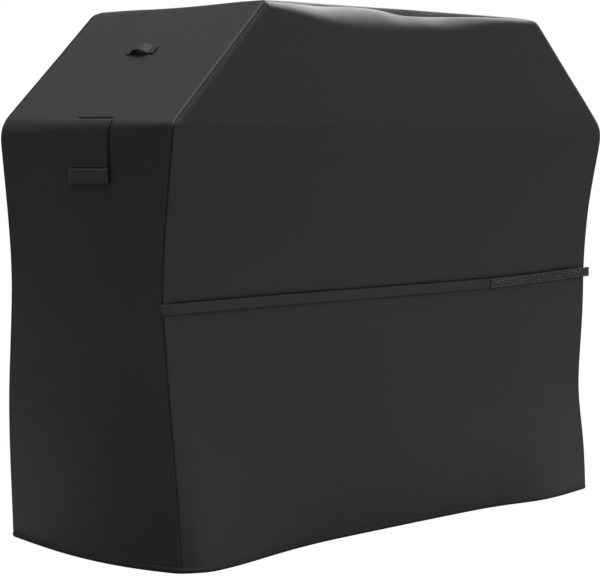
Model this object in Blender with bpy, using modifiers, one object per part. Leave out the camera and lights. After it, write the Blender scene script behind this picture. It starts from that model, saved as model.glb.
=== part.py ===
"""Fabric cover for a gas grill, standing free as if over the grill.

Metres, +Z up. X runs along the cover's long side and the front panel faces -Y.
The origin is at the centre of the hem, on the ground.

The back panel is the front panel turned half a turn about Z, and the right end
is the left end turned the same way, so one set of formulas serves both.
"""
import math

import bmesh
import bpy
from mathutils import Matrix, Vector

# Overall shape
TOP_HEIGHT = 1.22
SHOULDER_HEIGHT = 0.948
HALF_LENGTH = 0.7495
HALF_TOP_LENGTH = 0.468
SHOULDER_RADIUS = 0.035
TOP_RADIUS = 0.025
HALF_DEPTH_SHOULDER = 0.2965
HALF_DEPTH_TOP = 0.2945
HALF_DEPTH_WAIST = 0.257
HALF_DEPTH_HEM = 0.2732
WAIST_HEIGHT = 0.57
END_TAPER = 0.0205

# Soft flare of the hem
FLARE_HEIGHT = 0.45
END_FLARE = 0.043
END_FLARE_SKEW = 0.35
# Each lobe of the front hem: how far it stands out, its centre, and its spread
# towards the near corner and towards the middle
HEM_LOBES = [
    (0.054, -0.66, 0.072, 0.24),
    (0.034, 0.52, 0.19, 0.137),
]

# Cloth and tape
PANEL = 0.0012
TAPE = 0.0008
GAP = 0.0005
SEAM_BUTT = 0.0018
SEAM_TAPE_REACH = 0.018
SEAM_TAPE_SETBACK = 0.0027
HEM_HEIGHT = 0.0145
HEM_FLOOR = 0.0016
HEM_SLOT_PLAY = 0.0009

# Waist strap
STRAP_WIDTH = 0.025
STRAP_THICKNESS = 0.0018
STRAP_STANDOFF = 0.0045
STRAP_SEWN_LIFT = 0.0016
STRAP_HEIGHT = 0.5673
STRAP_TILT = math.radians(0.747)
STRAP_START = -0.744
STRAP_RAMP = 0.03
TAIL_ROOT = 0.335
TAIL_END = 0.758
TAIL_CLEARANCE = 0.0006
HOOK_THICKNESS = 0.0012
HOOK_WIDTH = 0.022
HOOK_INSET = 0.008
FOLD_CLEARANCE = 0.0012

# Vent in each end, placed on the left end
VENT_BACK = 0.014
VENT_FRONT = -0.076
VENT_LOW = 0.862
VENT_HIGH = 0.920
VENT_TAPE_WIDTH = 0.010
MESH_OVERLAP = 0.008
FLAP_BACK = 0.032
FLAP_FRONT = -0.094
FLAP_LOW = 0.824
FLAP_SEAM = 0.022
FLAP_THICKNESS = 0.0014
FLAP_STANDOFF = 0.003
LIP_LOW = 0.821
LIP_HIGH = 0.854
LIP_BACK = 0.036
LIP_FRONT = -0.095
LIP_THICKNESS = 0.0022

# Hanging loop on each shoulder slope, placed on the left slope
LOOP_FROM_SHOULDER = 0.229
LOOP_WIDTH = 0.024
LOOP_BACK = 0.044
LOOP_FRONT = -0.051
LOOP_FOOT = 0.018
LOOP_RISE = 0.014
LOOP_THICKNESS = 0.0014

# Fineness of the sheets
ARC_STEPS = 3
PANEL_COLUMNS = 26
END_COLUMNS = 9
HEM_ROW = 0.020
ROW_SPACING = 0.06

SLOPE = math.atan2(TOP_HEIGHT - SHOULDER_HEIGHT, HALF_LENGTH - HALF_TOP_LENGTH)
SHOULDER_TURN = math.pi / 2 - SLOPE
SHOULDER_TANGENT = SHOULDER_RADIUS * math.tan(SHOULDER_TURN / 2)
SHOULDER_START = SHOULDER_HEIGHT - SHOULDER_TANGENT
SHOULDER_ARC = SHOULDER_RADIUS * SHOULDER_TURN
HALF_TURN = Matrix.Rotation(math.pi, 4, "Z")


def ease(t):
    """Smooth step from 0 to 1."""
    t = min(max(t, 0.0), 1.0)
    return t * t * (3 - 2 * t)


# Outer surface of the cover

def half_length(z):
    """Half length of the ends below the shoulder: straight, then tucked in to the hem."""
    return HALF_LENGTH - END_TAPER * max(1 - z / SHOULDER_HEIGHT, 0) ** 2.5


def half_depth(z):
    """Half depth of the front at height z: narrow at the waist, wide at the shoulder."""
    if z < WAIST_HEIGHT:
        t = 1 - z / WAIST_HEIGHT
        return HALF_DEPTH_WAIST + (HALF_DEPTH_HEM - HALF_DEPTH_WAIST) * t ** 1.25
    if z < SHOULDER_HEIGHT:
        t = (z - WAIST_HEIGHT) / (SHOULDER_HEIGHT - WAIST_HEIGHT)
        rise = 1.9 * t ** 2 - 0.9 * t ** 3
        return HALF_DEPTH_WAIST + (HALF_DEPTH_SHOULDER - HALF_DEPTH_WAIST) * rise
    t = (z - SHOULDER_HEIGHT) / (TOP_HEIGHT - SHOULDER_HEIGHT)
    return HALF_DEPTH_SHOULDER + (HALF_DEPTH_TOP - HALF_DEPTH_SHOULDER) * t


def flare(z):
    """Share of the hem's flare that is left at height z."""
    return max(1 - z / FLARE_HEIGHT, 0) ** 1.5


def lobe(x, centre, outer, inner):
    spread = outer if (x - centre) * centre > 0 else inner
    return math.exp(-((x - centre) / spread) ** 2)


def front_point(x, z):
    """Point of the front panel's outer surface."""
    lobes = sum(size * lobe(x, *rest) for size, *rest in HEM_LOBES)
    return Vector((x, -half_depth(z) - flare(z) * lobes, z))


def back_point(x, z):
    return HALF_TURN @ front_point(-x, z)


def end_bulge(t):
    """Outward bulge of the left hem at t, from -1 at the front corner to 1 at the back."""
    return END_FLARE * (1 - t * t) * (1 - END_FLARE_SKEW * t)


def end_row(half, z):
    """Points of the left end or slope at height z, from the back corner to the front."""
    front = front_point(-half, z).y
    back = back_point(-half, z).y
    row = []
    for i in range(END_COLUMNS + 1):
        t = 1 - 2 * i / END_COLUMNS
        y = front + (back - front) * (t + 1) / 2
        row.append(Vector((-half - flare(z) * end_bulge(t), y, z)))
    return row


def butted(row):
    """A row of the end strip, with its two ends drawn back from the front and back panels."""
    share = SEAM_BUTT / (row[1] - row[0]).length
    return [row[0].lerp(row[1], share)] + row[1:-1] + [row[-1].lerp(row[-2], share)]


def arc(centre_x, centre_z, radius, start, turn):
    """Points of a rounded corner, from its start to its end, both included."""
    angles = [start + turn * i / ARC_STEPS for i in range(ARC_STEPS + 1)]
    return [(centre_x + radius * math.cos(a), centre_z + radius * math.sin(a)) for a in angles]


def outline():
    """Right half of the panels' outline, hem to top, as half length and height."""
    wall_rows = round((SHOULDER_START - HEM_ROW) / ROW_SPACING)
    heights = [HEM_ROW + (SHOULDER_START - HEM_ROW) * i / wall_rows for i in range(wall_rows)]
    wall = [(half_length(z), z) for z in [HEM_FLOOR] + heights]
    shoulder = arc(HALF_LENGTH - SHOULDER_RADIUS, SHOULDER_START, SHOULDER_RADIUS, 0, SHOULDER_TURN)
    top_tangent = TOP_RADIUS * math.tan(SLOPE / 2)
    top = arc(HALF_TOP_LENGTH - top_tangent, TOP_HEIGHT - TOP_RADIUS, TOP_RADIUS, SHOULDER_TURN, SLOPE)
    (x0, z0), (x1, z1) = shoulder[-1], top[0]
    middle = [((x0 + x1) / 2, (z0 + z1) / 2)]
    near_top = TOP_HEIGHT - SEAM_TAPE_REACH
    share = (near_top - z0) / (z1 - z0)
    middle.append((x0 + (x1 - x0) * share, near_top))
    return wall + shoulder + middle + top


def columns(half):
    """X of each panel column: one close to each edge, the others evenly between."""
    inner = half - SEAM_TAPE_REACH
    steps = PANEL_COLUMNS - 2
    return [-half] + [inner * (2 * i / steps - 1) for i in range(steps + 1)] + [half]


OUTLINE = outline()
TOP_COLUMNS = columns(OUTLINE[-1][0])
PANEL_GRID = [[front_point(x, z) for x in columns(half)] for half, z in OUTLINE]


def shoulder_path(s):
    """Point and outward direction on the left end, s metres above the shoulder's start."""
    if s <= 0:
        angle = 0
        x, z = -HALF_LENGTH, SHOULDER_START + s
    else:
        angle = min(s / SHOULDER_RADIUS, SHOULDER_TURN)
        x = -HALF_LENGTH + SHOULDER_RADIUS * (1 - math.cos(angle))
        z = SHOULDER_START + SHOULDER_RADIUS * math.sin(angle)
        beyond = max(s - SHOULDER_ARC, 0)
        x += beyond * math.sin(angle)
        z += beyond * math.cos(angle)
    return Vector((x, 0, z)), Vector((-math.cos(angle), 0, math.sin(angle)))


# Building tools

def new_collection(name):
    collection = bpy.data.collections.new(name)
    bpy.context.scene.collection.children.link(collection)
    return collection


def material(name, colour, roughness):
    made = bpy.data.materials.new(name)
    made.use_nodes = True
    shader = made.node_tree.nodes["Principled BSDF"]
    shader.inputs["Base Color"].default_value = (*colour, 1)
    shader.inputs["Roughness"].default_value = roughness
    shader.inputs["Metallic"].default_value = 0
    return made


def add_object(name, mesh_tool, look, collection, origin):
    """Turn a bmesh in world coordinates into an object whose origin is at origin."""
    bmesh.ops.translate(mesh_tool, vec=-origin, verts=mesh_tool.verts)
    mesh = bpy.data.meshes.new(name)
    mesh_tool.to_mesh(mesh)
    mesh_tool.free()
    if look:
        mesh.materials.append(look)
    made = bpy.data.objects.new(name, mesh)
    made.location = origin
    collection.objects.link(made)
    return made


def sheet(name, grid, look, thickness=0.0, origin=Vector(), mirrored=False):
    """A grid bent to the points of grid[row][column], thickened inwards.

    Columns run to the right as seen from outside, and rows run up.
    """
    across, up = len(grid[0]) - 1, len(grid) - 1
    made = bmesh.new()
    bmesh.ops.create_grid(made, x_segments=across, y_segments=up, size=1)
    for vert in made.verts:
        column = round((vert.co.x + 1) / 2 * across)
        row = round((vert.co.y + 1) / 2 * up)
        vert.co = grid[row][column]
    if mirrored:
        bmesh.ops.scale(made, vec=(1, -1, 1), verts=made.verts)
        bmesh.ops.reverse_faces(made, faces=made.faces)
    if not thickness:
        bmesh.ops.remove_doubles(made, verts=made.verts, dist=GAP / 10)
        bmesh.ops.recalc_face_normals(made, faces=made.faces)
    result = add_object(name, made, look, COVER, origin)
    if thickness:
        solidify = result.modifiers.new("thickness", "SOLIDIFY")
        solidify.thickness = thickness
        solidify.offset = -1
        solidify.use_even_offset = True
    return result


def block(name, low, high, look, collection, origin=Vector()):
    """A box between two corners."""
    made = bmesh.new()
    bmesh.ops.create_cube(made, size=1)
    bmesh.ops.scale(made, vec=high - low, verts=made.verts)
    bmesh.ops.translate(made, vec=(low + high) / 2, verts=made.verts)
    return add_object(name, made, look, collection, origin)


def cut(target, cutter):
    boolean = target.modifiers.new("window", "BOOLEAN")
    boolean.operation = "DIFFERENCE"
    boolean.object = cutter


def turned_copy(source, name, collection):
    """The same piece on the other end, half a turn about Z, with its own object."""
    made = source.copy()
    made.name = name
    made.matrix_world = HALF_TURN @ Matrix.Translation(source.location)
    collection.objects.link(made)
    return made


# Sewn shell

def panels():
    front = sheet("front_panel", PANEL_GRID, CLOTH, PANEL)
    turned_copy(front, "back_panel", COVER)


def top_and_end_panel(cutters):
    """One strip: up the left end, over the left slope, the top, and down the right."""
    left = [butted(end_row(half, z)) for half, z in OUTLINE]
    right = [[HALF_TURN @ point for point in reversed(row)] for row in reversed(left)]
    top = [[Vector((x, point.y, TOP_HEIGHT)) for point in left[-1]] for x in TOP_COLUMNS[1:-1]]
    strip = sheet("top_and_end_panel", left + top + right, CLOTH, PANEL)
    for cutter in cutters:
        cut(strip, cutter)


def seam_bindings():
    """A tape along the inside of the front panel's edge, from hem to hem."""
    last = len(PANEL_GRID) - 1
    below_top = last - ARC_STEPS - 1
    end = PANEL_COLUMNS
    border = [(row, 0) for row in range(1, last + 1)]
    border += [(last, column) for column in range(1, end)]
    border += [(row, end) for row in range(last, 0, -1)]
    inwards = Vector((0, SEAM_TAPE_SETBACK, 0))
    outer_share, inner_share = 0.25, 0.9
    near, far = [], []
    for row, column in border:
        edge = PANEL_GRID[row][column]
        inside = PANEL_GRID[min(row, below_top)][min(max(column, 1), end - 1)]
        near.append(edge.lerp(inside, outer_share) + inwards)
        far.append(edge.lerp(inside, inner_share) + inwards)
    tape = sheet("front_seam_binding", [far, near], BINDING, TAPE)
    turned_copy(tape, "back_seam_binding", COVER)


def hem_ring(z):
    """Corners of the hem's outline, anticlockwise from above, at height z."""
    share = (z - HEM_FLOOR) / (HEM_ROW - HEM_FLOOR)
    low, high = [end_row(half, level)[1:-1] + row for (half, level), row in zip(OUTLINE, PANEL_GRID[:2])]
    half_ring = [a.lerp(b, share) for a, b in zip(low, high)]
    return half_ring + [HALF_TURN @ point for point in half_ring]


def hem_binding():
    """A closed tape folded over the bottom edge, with a slot that holds the panels."""
    outside = HEM_SLOT_PLAY + TAPE
    slot_back = -PANEL - HEM_SLOT_PLAY
    inside = slot_back - TAPE
    floor = TAPE
    profile = [
        (outside, 0), (outside, HEM_HEIGHT), (HEM_SLOT_PLAY, HEM_HEIGHT), (HEM_SLOT_PLAY, floor),
        (slot_back, floor), (slot_back, HEM_HEIGHT), (inside, HEM_HEIGHT), (inside, 0),
    ]
    base = hem_ring(0)
    count = len(base)
    directions = []
    for i in range(count):
        before = (base[i] - base[i - 1]).normalized()
        after = (base[(i + 1) % count] - base[i]).normalized()
        out_before = Vector((before.y, -before.x, 0))
        out_after = Vector((after.y, -after.x, 0))
        mitre = (out_before + out_after).normalized()
        directions.append(mitre / mitre.dot(out_before))
    grid = []
    for offset, z in profile + profile[:1]:
        ring = hem_ring(z)
        row = [Vector((p.x, p.y, z)) + d * offset for p, d in zip(ring, directions)]
        grid.append(row + row[:1])
    sheet("hem_binding", grid, BINDING)


# Waist straps

def strap_point(x, across, out):
    """A point on the strap: along it, across its width, and out from the panel."""
    along = Vector((math.cos(STRAP_TILT), 0, math.sin(STRAP_TILT)))
    upwards = Vector((-math.sin(STRAP_TILT), 0, math.cos(STRAP_TILT)))
    centre = Vector((0, -HALF_DEPTH_WAIST - out, STRAP_HEIGHT))
    return centre + along * x / math.cos(STRAP_TILT) + upwards * across


def strap_ribbon(stations, width, outs):
    """Grid for a ribbon: stations along the strap, with the height of its outer face."""
    return [
        [strap_point(x, side * width / 2, out) for x, out in zip(stations, outs)]
        for side in (-1, 1)
    ]


def straps():
    """A webbing strap across each face, its free tail, and the tail's hook tape."""
    outer = STRAP_STANDOFF + STRAP_THICKNESS
    ramp = [STRAP_RAMP * i / 4 for i in range(5)]
    stations = [STRAP_START + r for r in ramp] + [-0.2, TAIL_ROOT - TAIL_CLEARANCE]
    sewn = STRAP_SEWN_LIFT + STRAP_THICKNESS
    outs = [sewn + (outer - sewn) * ease(r / STRAP_RAMP) for r in ramp] + [outer, outer]
    tail_stations = [TAIL_ROOT + TAIL_CLEARANCE, (TAIL_ROOT + TAIL_END) / 2, TAIL_END]
    hook_stations = [TAIL_ROOT + HOOK_INSET, TAIL_END - HOOK_INSET / 2]
    hook_outer = outer + GAP + HOOK_THICKNESS
    fold = outer + (GAP + HOOK_THICKNESS + FOLD_CLEARANCE) / 2
    for face, mirrored in (("front", False), ("back", True)):
        axis = strap_point(TAIL_ROOT, 0, fold)
        if mirrored:
            axis.y = -axis.y
        strap = strap_ribbon(stations, STRAP_WIDTH, outs)
        tail = strap_ribbon(tail_stations, STRAP_WIDTH, [outer] * 3)
        hook = strap_ribbon(hook_stations, HOOK_WIDTH, [hook_outer] * 2)
        sheet(face + "_strap", strap, WEBBING, STRAP_THICKNESS, mirrored=mirrored)
        sheet(face + "_strap_tail", tail, WEBBING, STRAP_THICKNESS, axis, mirrored)
        sheet(face + "_strap_hook_tape", hook, HOOK, HOOK_THICKNESS, axis, mirrored)


# Vents

def vent_cutters():
    reach = 0.01
    low = Vector((-HALF_LENGTH - reach, VENT_FRONT, VENT_LOW))
    high = Vector((-HALF_LENGTH + reach, VENT_BACK, VENT_HIGH))
    left = block("left_window_cutter", low, high, None, CUTTERS)
    right = turned_copy(left, "right_window_cutter", CUTTERS)
    for cutter in (left, right):
        cutter.hide_render = True
        cutter.display_type = "WIRE"
    return left, right


def vents(cutters):
    """Mesh window, the tape around it, and the flap with its lip, on both ends."""
    inner = -HALF_LENGTH + PANEL + GAP
    border = Vector((0, MESH_OVERLAP, MESH_OVERLAP))
    mesh_low = Vector((inner, VENT_FRONT, VENT_LOW)) - border
    mesh_high = Vector((inner + TAPE, VENT_BACK, VENT_HIGH)) + border
    mesh = block("left_vent_mesh", mesh_low, mesh_high, MESH, COVER)
    turned_copy(mesh, "right_vent_mesh", COVER)

    outer = -HALF_LENGTH - GAP
    border = Vector((0, VENT_TAPE_WIDTH, VENT_TAPE_WIDTH))
    tape_low = Vector((outer - TAPE, VENT_FRONT, VENT_LOW)) - border
    tape_high = Vector((outer, VENT_BACK, VENT_HIGH)) + border
    tape = block("left_vent_binding", tape_low, tape_high, BINDING, COVER)
    other = turned_copy(tape, "right_vent_binding", COVER)
    cut(tape, cutters[0])
    cut(other, cutters[1])

    top = SHOULDER_ARC + FLAP_SEAM - SHOULDER_TANGENT
    bottom = FLAP_LOW - SHOULDER_START
    edge, outward = shoulder_path(top)
    axis = edge + outward * (GAP + FLAP_THICKNESS / 2)
    axis.y = (FLAP_BACK + FLAP_FRONT) / 2
    heights = [bottom, bottom / 2, 0]
    heights += [SHOULDER_ARC * i / 4 for i in range(1, 5)] + [top]
    grid = []
    for s in heights:
        point, outward = shoulder_path(s)
        lift = FLAP_STANDOFF + (GAP - FLAP_STANDOFF) * ease(s / top)
        point += outward * (lift + FLAP_THICKNESS)
        grid.append([point + Vector((0, y, 0)) for y in (FLAP_BACK, FLAP_FRONT)])
    flap = sheet("left_vent_flap", grid, CLOTH, FLAP_THICKNESS, axis)
    turned_copy(flap, "right_vent_flap", COVER)

    face = -HALF_LENGTH - FLAP_STANDOFF - FLAP_THICKNESS - GAP
    lip_low = Vector((face - LIP_THICKNESS, LIP_FRONT, LIP_LOW))
    lip_high = Vector((face, LIP_BACK, LIP_HIGH))
    lip = block("left_vent_lip", lip_low, lip_high, WEBBING, COVER, axis)
    bevel = lip.modifiers.new("soft edges", "BEVEL")
    bevel.width = LIP_THICKNESS / 4
    turned_copy(lip, "right_vent_lip", COVER)


# Hanging loops

def loop_ribbon(stations, rises):
    """Grid for webbing lying on the left slope, running from back to front."""
    low, outward = shoulder_path(SHOULDER_ARC + LOOP_FROM_SHOULDER - SHOULDER_TANGENT)
    up_slope = Vector((math.cos(SLOPE), 0, math.sin(SLOPE)))
    return [
        [
            low + up_slope * across + outward * rise + Vector((0, y, 0))
            for y, rise in zip(stations, rises)
        ]
        for across in (0, LOOP_WIDTH)
    ]


def loops():
    """An arch of webbing on each slope, sewn down by a foot at each end."""
    surface = GAP + LOOP_THICKNESS
    feet = (
        ("left_loop_back_foot", "right_loop_front_foot", LOOP_BACK, LOOP_BACK - LOOP_FOOT),
        ("left_loop_front_foot", "right_loop_back_foot", LOOP_FRONT + LOOP_FOOT, LOOP_FRONT),
    )
    for left_name, right_name, back, front in feet:
        foot = sheet(left_name, loop_ribbon([back, front], [surface] * 2), WEBBING, LOOP_THICKNESS)
        turned_copy(foot, right_name, COVER)

    arch_back = LOOP_BACK - LOOP_FOOT - GAP
    arch_front = LOOP_FRONT + LOOP_FOOT + GAP
    steps = 12
    stations, rises = [], []
    for i in range(steps + 1):
        t = i / steps
        stations.append(arch_back + (arch_front - arch_back) * t)
        rises.append(surface + LOOP_RISE * math.sin(math.pi * t) ** 1.3)
    low, outward = shoulder_path(SHOULDER_ARC + LOOP_FROM_SHOULDER - SHOULDER_TANGENT)
    axis = low + outward * GAP
    axis.y = (arch_back + arch_front) / 2
    arch = sheet("left_loop", loop_ribbon(stations, rises), WEBBING, LOOP_THICKNESS, axis)
    turned_copy(arch, "right_loop", COVER)


for leftover in list(bpy.data.objects):
    bpy.data.objects.remove(leftover)

COVER = new_collection("grill_cover")
CUTTERS = new_collection("cutters")
CLOTH = material("coated_polyester", (0.012, 0.012, 0.013), 0.55)
BINDING = material("binding_tape", (0.010, 0.010, 0.011), 0.65)
WEBBING = material("webbing", (0.016, 0.016, 0.017), 0.6)
HOOK = material("hook_tape", (0.020, 0.020, 0.021), 0.5)
MESH = material("vent_mesh", (0.008, 0.008, 0.009), 0.7)

WINDOW_CUTTERS = vent_cutters()
panels()
top_and_end_panel(WINDOW_CUTTERS)
seam_bindings()
hem_binding()
straps()
vents(WINDOW_CUTTERS)
loops()
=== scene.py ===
"""Looks of the fabric grill cover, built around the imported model.

Metres, +Z up, front panel facing -Y. The back panel and the right end are the
front panel and the left end turned half a turn about Z.
"""
import math
from contextlib import contextmanager

import bmesh
import bpy
import numpy as np
from mathutils import Matrix, Vector


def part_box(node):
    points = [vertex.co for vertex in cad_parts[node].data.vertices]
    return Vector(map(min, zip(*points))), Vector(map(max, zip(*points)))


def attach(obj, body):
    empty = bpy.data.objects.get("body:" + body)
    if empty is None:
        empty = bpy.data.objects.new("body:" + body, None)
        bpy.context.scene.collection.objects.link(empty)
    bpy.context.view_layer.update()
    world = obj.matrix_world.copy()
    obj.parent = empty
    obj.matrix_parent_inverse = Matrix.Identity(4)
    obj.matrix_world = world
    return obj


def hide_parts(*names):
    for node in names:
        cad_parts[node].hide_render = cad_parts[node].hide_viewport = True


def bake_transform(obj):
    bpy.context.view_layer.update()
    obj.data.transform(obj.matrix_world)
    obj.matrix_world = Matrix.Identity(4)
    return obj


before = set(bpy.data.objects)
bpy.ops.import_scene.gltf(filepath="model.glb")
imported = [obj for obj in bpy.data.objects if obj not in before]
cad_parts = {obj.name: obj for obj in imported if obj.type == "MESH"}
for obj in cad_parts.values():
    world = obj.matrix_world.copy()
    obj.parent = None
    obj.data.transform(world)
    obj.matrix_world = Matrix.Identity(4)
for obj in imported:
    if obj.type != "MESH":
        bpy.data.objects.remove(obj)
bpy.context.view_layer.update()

MM = 0.001

# Sizes taken from the frame
PANEL_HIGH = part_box("front_panel")[1]
TOP = PANEL_HIGH.z
HALF_LENGTH = PANEL_HIGH.x
STRAP_LOW, STRAP_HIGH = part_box("front_strap")
TAIL_LOW, TAIL_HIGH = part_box("front_strap_tail")
HOOK_LOW, HOOK_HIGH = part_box("front_strap_hook_tape")
FLAP_LOW, FLAP_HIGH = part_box("left_vent_flap")
LIP_LOW, LIP_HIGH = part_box("left_vent_lip")
MESH_LOW, MESH_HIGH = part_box("left_vent_mesh")
TAPE_LOW, TAPE_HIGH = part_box("left_vent_binding")
LOOP_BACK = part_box("left_loop_back_foot")[1].y
LOOP_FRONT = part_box("left_loop_front_foot")[0].y
LOOP_FOOT = LOOP_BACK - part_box("left_loop_back_foot")[0].y

# Outer shape of the cover
SHOULDER = 0.948
HALF_TOP = 0.468
HALF_DEPTH_SHOULDER = 0.2965
HALF_DEPTH_TOP = 0.2945
HALF_DEPTH_WAIST = 0.257
HALF_DEPTH_HEM = 0.2732
WAIST = 0.57
END_TAPER = 0.0205
END_CROWN = 0.008
FLARE_HEIGHT = 0.45
END_FLARE = 0.043
END_FLARE_SKEW = 0.35
HEM_LOBES = [  # how far out, x, spread toward the end, spread toward the middle
    (0.054, -0.66, 0.072, 0.24),
    (0.034, 0.52, 0.19, 0.137),
]
SLOPE = math.atan2(TOP - SHOULDER, HALF_LENGTH - HALF_TOP)
CREASE_RADIUS = 0.045
CREASE_TURN = math.pi / 2 - SLOPE
CREASE_START = SHOULDER - CREASE_RADIUS * math.tan(CREASE_TURN / 2)
NEAR_RADII = (0.024, 0.022)
FAR_RADII = (0.085, 0.045)
MIDDLE_RADII = (CREASE_RADIUS, 0.030)
PANEL_FLOOR = 0.004
RING_REACH = 0.066
RIDGE_PEAK = 0.06
RIDGE_RISE = 0.0052
CLOTH_THICKNESS = 0.0009
HEM_HEIGHT = 0.013
SEAM_GAP = 0.2 * MM
TOP_SAG = 0.006
EDGE_REACH = 0.24
SLIT_DEPTH = 0.0026
CUT_INSET = 0.009
VENT_TAPE_WIDTH = 0.010

# Number of rows in each stretch of the outline
WALL_ROWS = 92
ARC_ROWS = 12
SLOPE_ROWS = 40
TOP_ARC_ROWS = 8
TOP_ROWS = 96

STRAP_WIDTH = 0.024
STRAP_THICKNESS = 0.0017
STRAP_OUT = -STRAP_LOW.y
STRAP_MIDDLE = (STRAP_LOW + STRAP_HIGH) / 2
TAIL_MIDDLE = (TAIL_LOW + TAIL_HIGH) / 2
STRAP_TILT = math.atan2(TAIL_MIDDLE.z - STRAP_MIDDLE.z, TAIL_MIDDLE.x - STRAP_MIDDLE.x)
STRAP_HEIGHT = STRAP_MIDDLE.z - STRAP_MIDDLE.x * math.tan(STRAP_TILT)
STRAP_SAG = 0.0085

HALF_TURN = np.array([-1.0, -1.0, 1.0])
HALF_TURN_MATRIX = Matrix.Rotation(math.pi, 4, "Z")
WHITE = (1, 1, 1, 1)


def mm(*values, count=0):
    """Millimetres as an array in metres, filled up with zeros to a count."""
    return np.array(values + (0,) * (count - len(values))) * MM


def ease(t):
    t = np.clip(t, 0.0, 1.0)
    return t * t * (3 - 2 * t)


def lobe(x, centre, left, right):
    """A bell with a different spread on each side."""
    return np.exp(-((x - centre) / np.where(x < centre, left, right)) ** 2)


# Outer surface

def half_length(z):
    return HALF_LENGTH - END_TAPER * np.clip(1 - z / SHOULDER, 0, None) ** 2.5


def half_depth(z):
    low = np.clip(1 - z / WAIST, 0, None) ** 1.25
    t = np.clip((z - WAIST) / (SHOULDER - WAIST), 0, 1)
    rise = 1.9 * t ** 2 - 0.9 * t ** 3
    top = np.clip((z - SHOULDER) / (TOP - SHOULDER), 0, 1)
    depth = HALF_DEPTH_WAIST + (HALF_DEPTH_HEM - HALF_DEPTH_WAIST) * low
    depth = depth + (HALF_DEPTH_SHOULDER - HALF_DEPTH_WAIST) * rise
    return depth + (HALF_DEPTH_TOP - HALF_DEPTH_SHOULDER) * top


def flare(z):
    return np.clip(1 - z / FLARE_HEIGHT, 0, None) ** 1.5


def ripple(a, b, seed, size):
    """Slow, shallow unevenness of hanging cloth."""
    rng = np.random.default_rng(seed)
    total = np.zeros(np.broadcast(a, b).shape)
    for _ in range(7):
        angle = rng.uniform(0, math.pi)
        wave = rng.uniform(0.16, 0.5)
        phase = rng.uniform(0, 2 * math.pi)
        along = a * math.cos(angle) + b * math.sin(angle)
        total += np.sin(2 * math.pi * along / wave + phase) * wave
    return size * total / 2


def strap_height(x):
    """Height of the middle of the waist strap, which hangs a little between its ends."""
    return STRAP_HEIGHT + x * math.tan(STRAP_TILT) - STRAP_SAG * lobe(x, 0.36, 0.60, 0.32)


def pinch(x, z, lean):
    """How far the waist strap draws the panel in: a tight line, and a hollow under it."""
    above = z - strap_height(lean * x)
    inside = ease((half_length(z) - np.abs(x)) / 0.05)
    tight = 0.0056 * lobe(above, -0.007, 0.009, 0.018)
    hollow = 0.0026 * lobe(above, -0.023, 0.040, 0.014)
    return inside * (tight + hollow)


def drape(x, z, lean):
    """The skirt hangs back from the upright toward a panel's right corner, and the
    front's shoulder leans out there; lean is 1 for the front panel and -1 for the back."""
    across = ease((x + 0.2) / 0.97)
    if lean > 0:
        return across * (0.015 * ease((z - 0.72) / 0.3) - 0.0165 * lobe(z, 0.27, 0.12, 0.15))
    return across * 0.018 * lobe(z, 0.30, 0.27, 0.22)


def front_depth(x, z, lean):
    """Distance of a panel's face from the middle plane."""
    lobes = 0
    for size, centre, outer, inner in HEM_LOBES:
        left, right = (outer, inner) if centre < 0 else (inner, outer)
        lobes = lobes + size * lobe(x, centre, left, right)
    inside = ease((half_length(z) - np.abs(x)) / 0.12) * ease((TOP - z) / 0.1)
    waves = inside * ripple(x, z, 4, 0.0009)
    return half_depth(z) + flare(z) * lobes + waves - pinch(x, z, lean) + drape(x, z, lean)


def end_out(z, t):
    """How far the left end stands out beyond its corners; t runs -1 front to 1 back."""
    crown = END_CROWN * ease(z / 0.3) * ease((SHOULDER - z - 0.12) / 0.3)
    bulge = END_FLARE * (1 - END_FLARE_SKEW * t) * flare(z)
    return (1 - t * t) * (crown + bulge)


# Top edge of the front panel, by x

def ridge_rise(x):
    """Height of the top strip's front fold over the flat top."""
    fall = np.where(x < RIDGE_PEAK, 0.0055 / 0.52 ** 2, 0.0022 / 0.38 ** 2)
    return RIDGE_RISE - fall * (x - RIDGE_PEAK) ** 2


def seam_drop(x):
    """How far the seam lies below that fold; it sinks at the middle."""
    sunk = 0.0130 * lobe(x, 0.01, 0.08, 0.21)
    return sunk + 0.0035 * lobe(x, -0.28, 0.10, 0.06) + 0.0032


def roll_height(x):
    """Height of the front panel's soft roll under the seam."""
    return 0.012 + 0.042 * lobe(x, -0.15, 0.22, 0.20) + 0.020 * lobe(x, 0.15, 0.10, 0.14)


# Outline path, left hem to right hem

def corner_inset(z):
    """How far the front left corner draws in from the end's own line."""
    low = np.clip(z / 0.56, 0, 1)
    return (2.0 + 4.0 * ease(z / 0.25) + 33.6 * low * (1 - low)) * MM


def no_inset(z):
    return 0 * z


def arc(centre, radius, angles):
    """Points on a circle, by the angle up from its left side."""
    return centre + radius * np.stack([-np.cos(angles), np.sin(angles)], 1)


def half_path(radii, inset):
    """Left half of an outline from hem to top, as x and z."""
    shoulder_radius, top_radius = radii
    shoulder_x = -HALF_LENGTH + float(inset(SHOULDER))
    rise = math.atan2(TOP - SHOULDER, -HALF_TOP - shoulder_x)
    turn = math.pi / 2 - rise
    start = SHOULDER - shoulder_radius * math.tan(turn / 2)
    wall_z = PANEL_FLOOR + (start - PANEL_FLOOR) * np.linspace(0, 1, WALL_ROWS + 1) ** 1.04
    wall = np.stack([-half_length(wall_z) + inset(wall_z), wall_z], 1)
    centre = (shoulder_x + shoulder_radius, start)
    low = arc(centre, shoulder_radius, np.linspace(0, turn, ARC_ROWS + 1)[1:])
    centre = (-HALF_TOP + top_radius * math.tan(rise / 2), TOP - top_radius)
    high = arc(centre, top_radius, turn + np.linspace(0, rise, TOP_ARC_ROWS + 1))
    slope = low[-1] + (high[0] - low[-1]) * slope_shares()[:, None]
    return np.concatenate([wall, low, slope, high[1:]])


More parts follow.
